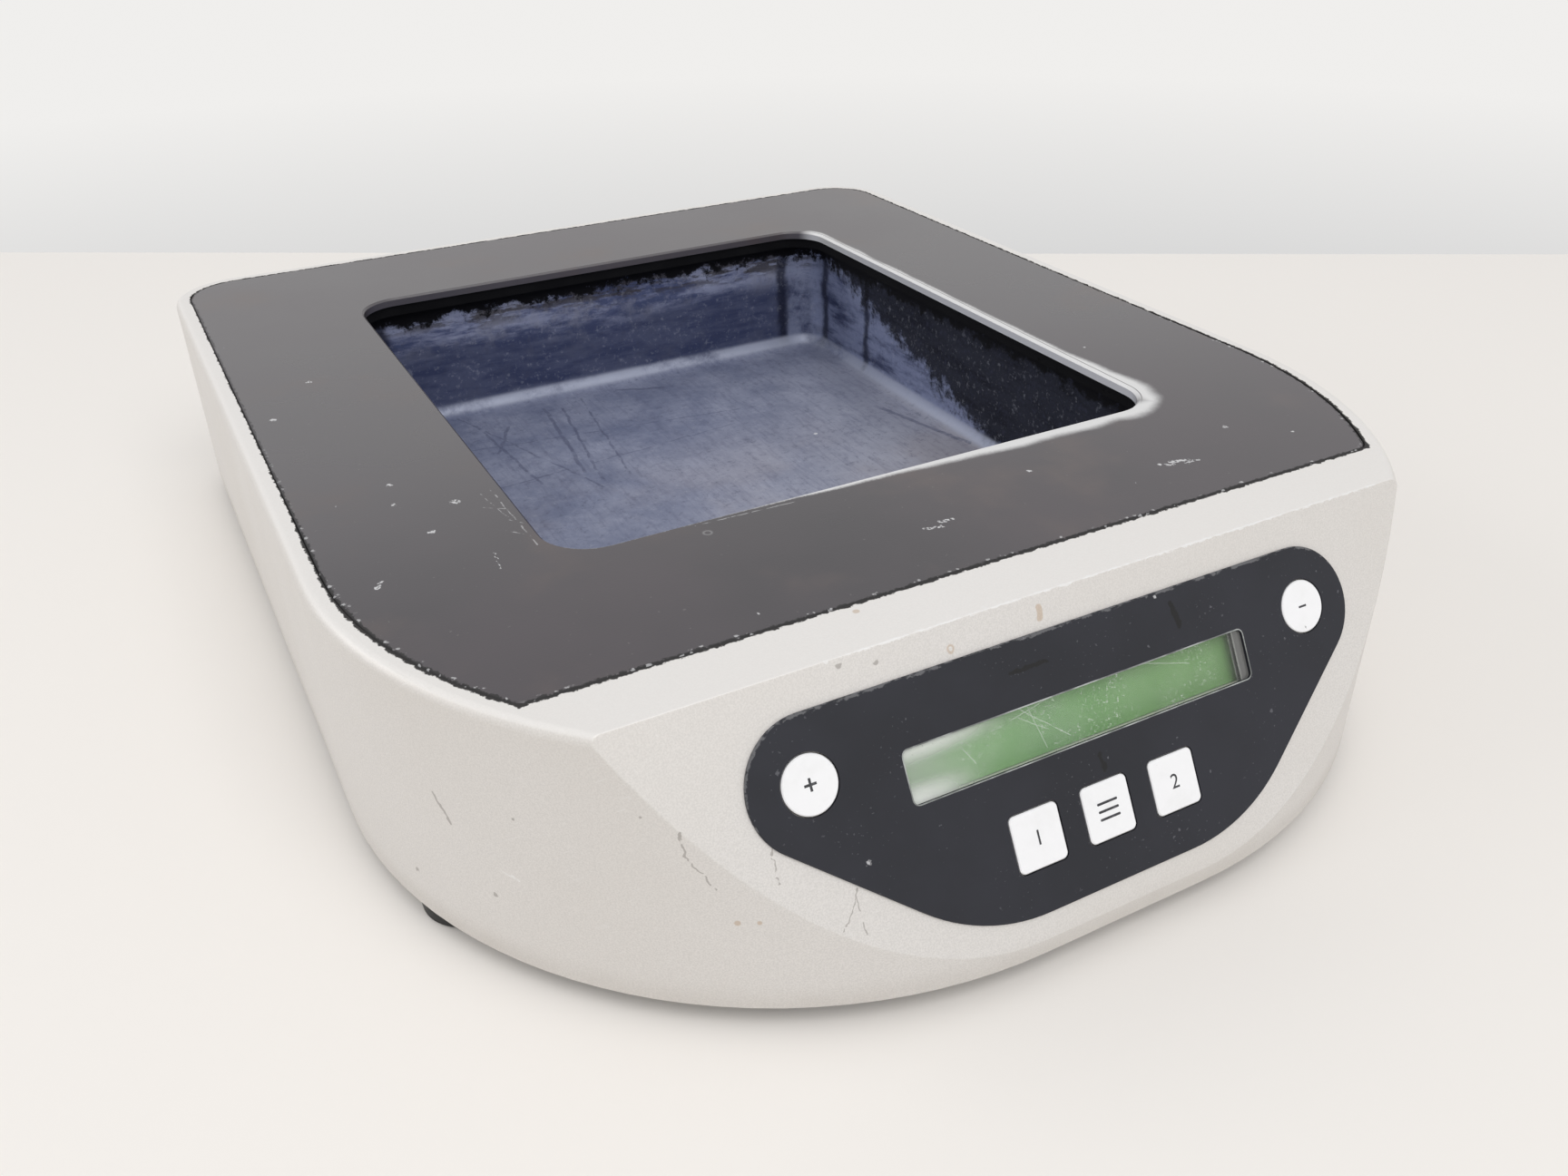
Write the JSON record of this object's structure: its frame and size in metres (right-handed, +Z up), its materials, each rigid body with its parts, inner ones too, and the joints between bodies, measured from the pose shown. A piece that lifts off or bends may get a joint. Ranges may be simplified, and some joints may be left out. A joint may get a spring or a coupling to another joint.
{
  "type": "laboratory water bath",
  "caption": "Slim bench water bath for floating thin sections: heated basin in a flat warm top plate, with display and keys on a sloping face at the front.",
  "frame": {"origin": "centre of the whole object's footprint at bench level, under the feet", "axes": "+X to the right of someone facing the controls, +Y towards the back, +Z up"},
  "size_m": [0.3112, 0.3962, 0.079],
  "materials": {
    "silver_housing": "silver metallic paint on a structural moulding, scuffed",
    "black_plate": "black coated, satin, worn bright round the opening",
    "blue_basin": "blue-grey anodised, streaked by water",
    "black_seal": "matt",
    "overlay_film": "printed polyester film, fine matt",
    "white_key": "satin white with dark marks",
    "switch_plastic": "matt",
    "clear_lens": "clear with fine scratches",
    "green_display": "unlit reflective green",
    "light_guide": "milky",
    "plated_steel": "zinc plated sheet",
    "zinc_fasteners": "bright zinc",
    "nylon_spacers": "natural nylon",
    "circuit_board": "green solder mask",
    "chip_plastic": "matt",
    "silicone_mat": "brick red silicone",
    "bare_aluminium": "as extruded",
    "insulation_foam": "soft foam with foil face",
    "black_rubber": "matt",
    "iron_laminations": "varnished",
    "copper_winding": "varnished copper under tape",
    "terminal_plastic": "green",
    "module_plastic": "fine matt black",
    "contact_brass": "nickel plated",
    "fuse_glass": "clear tube, metal caps"
  },
  "bodies": {
    "base": {"housing": "silver_housing", "top_plate": "black_plate", "basin": "blue_basin", "basin_seal": "black_seal", "keypad_overlay": "overlay_film", "tactile_switches": "switch_plastic", "display_window": "clear_lens", "lcd_glass": "green_display", "lcd_backlight": "light_guide", "lcd_bezel": "plated_steel", "plate_clamps": "plated_steel", "base_plate": "plated_steel", "temperature_sensor": "plated_steel", "overheat_cutout": "plated_steel", "plate_nuts": "zinc_fasteners", "basin_nuts": "zinc_fasteners", "base_screws": "zinc_fasteners", "foot_screws": "zinc_fasteners", "foot_nuts": "zinc_fasteners", "board_screws": "zinc_fasteners", "entry_screws": "zinc_fasteners", "entry_nuts": "zinc_fasteners", "lcd_spacers": "nylon_spacers", "power_board_spacers": "nylon_spacers", "lcd_board": "circuit_board", "control_board": "circuit_board", "power_board": "circuit_board", "control_chips": "chip_plastic", "triac": "chip_plastic", "heating_mat": "silicone_mat", "weld_studs": "bare_aluminium", "sensor_block": "bare_aluminium", "heatsink": "bare_aluminium", "insulation_tray": "insulation_foam", "foot_front_left": "black_rubber", "foot_front_right": "black_rubber", "foot_back_left": "black_rubber", "foot_back_right": "black_rubber", "transformer_core": "iron_laminations", "transformer_coil": "copper_winding", "terminal_block": "terminal_plastic", "power_inlet": "module_plastic", "inlet_pins": "contact_brass"},
    "plus": {"plus_key": "white_key", "plus_actuator": "switch_plastic"},
    "minus": {"minus_key": "white_key", "minus_actuator": "switch_plastic"},
    "preset_1": {"preset_1_key": "white_key", "preset_1_actuator": "switch_plastic"},
    "menu": {"menu_key": "white_key", "menu_actuator": "switch_plastic"},
    "preset_2": {"preset_2_key": "white_key", "preset_2_actuator": "switch_plastic"},
    "rocker": {"mains_rocker": "module_plastic"},
    "fuse_holder": {"fuse_drawer": "module_plastic", "fuses": "fuse_glass"}
  },
  "joints": [
    {"name": "plus_press", "type": "slide", "parent": "base", "child": "plus", "axis": [0, 0.8695, -0.4939], "range_m": [0, 0.0005], "stiffness_N_per_m": 2000},
    {"name": "minus_press", "type": "slide", "parent": "base", "child": "minus", "axis": [0, 0.8695, -0.4939], "range_m": [0, 0.0005], "stiffness_N_per_m": 2000},
    {"name": "preset_1_press", "type": "slide", "parent": "base", "child": "preset_1", "axis": [0, 0.8695, -0.4939], "range_m": [0, 0.0005], "stiffness_N_per_m": 2000},
    {"name": "menu_press", "type": "slide", "parent": "base", "child": "menu", "axis": [0, 0.8695, -0.4939], "range_m": [0, 0.0005], "stiffness_N_per_m": 2000},
    {"name": "preset_2_press", "type": "slide", "parent": "base", "child": "preset_2", "axis": [0, 0.8695, -0.4939], "range_m": [0, 0.0005], "stiffness_N_per_m": 2000},
    {"name": "mains_switch", "type": "hinge", "parent": "base", "child": "rocker", "pos_m": [0.0634, 0.19101, 0.037], "axis": [1, 0, 0], "range_deg": [0, 24]},
    {"name": "fuse_drawer_slide", "type": "slide", "parent": "base", "child": "fuse_holder", "axis": [0, 1, 0], "range_m": [0, 0.018]}
  ]
}
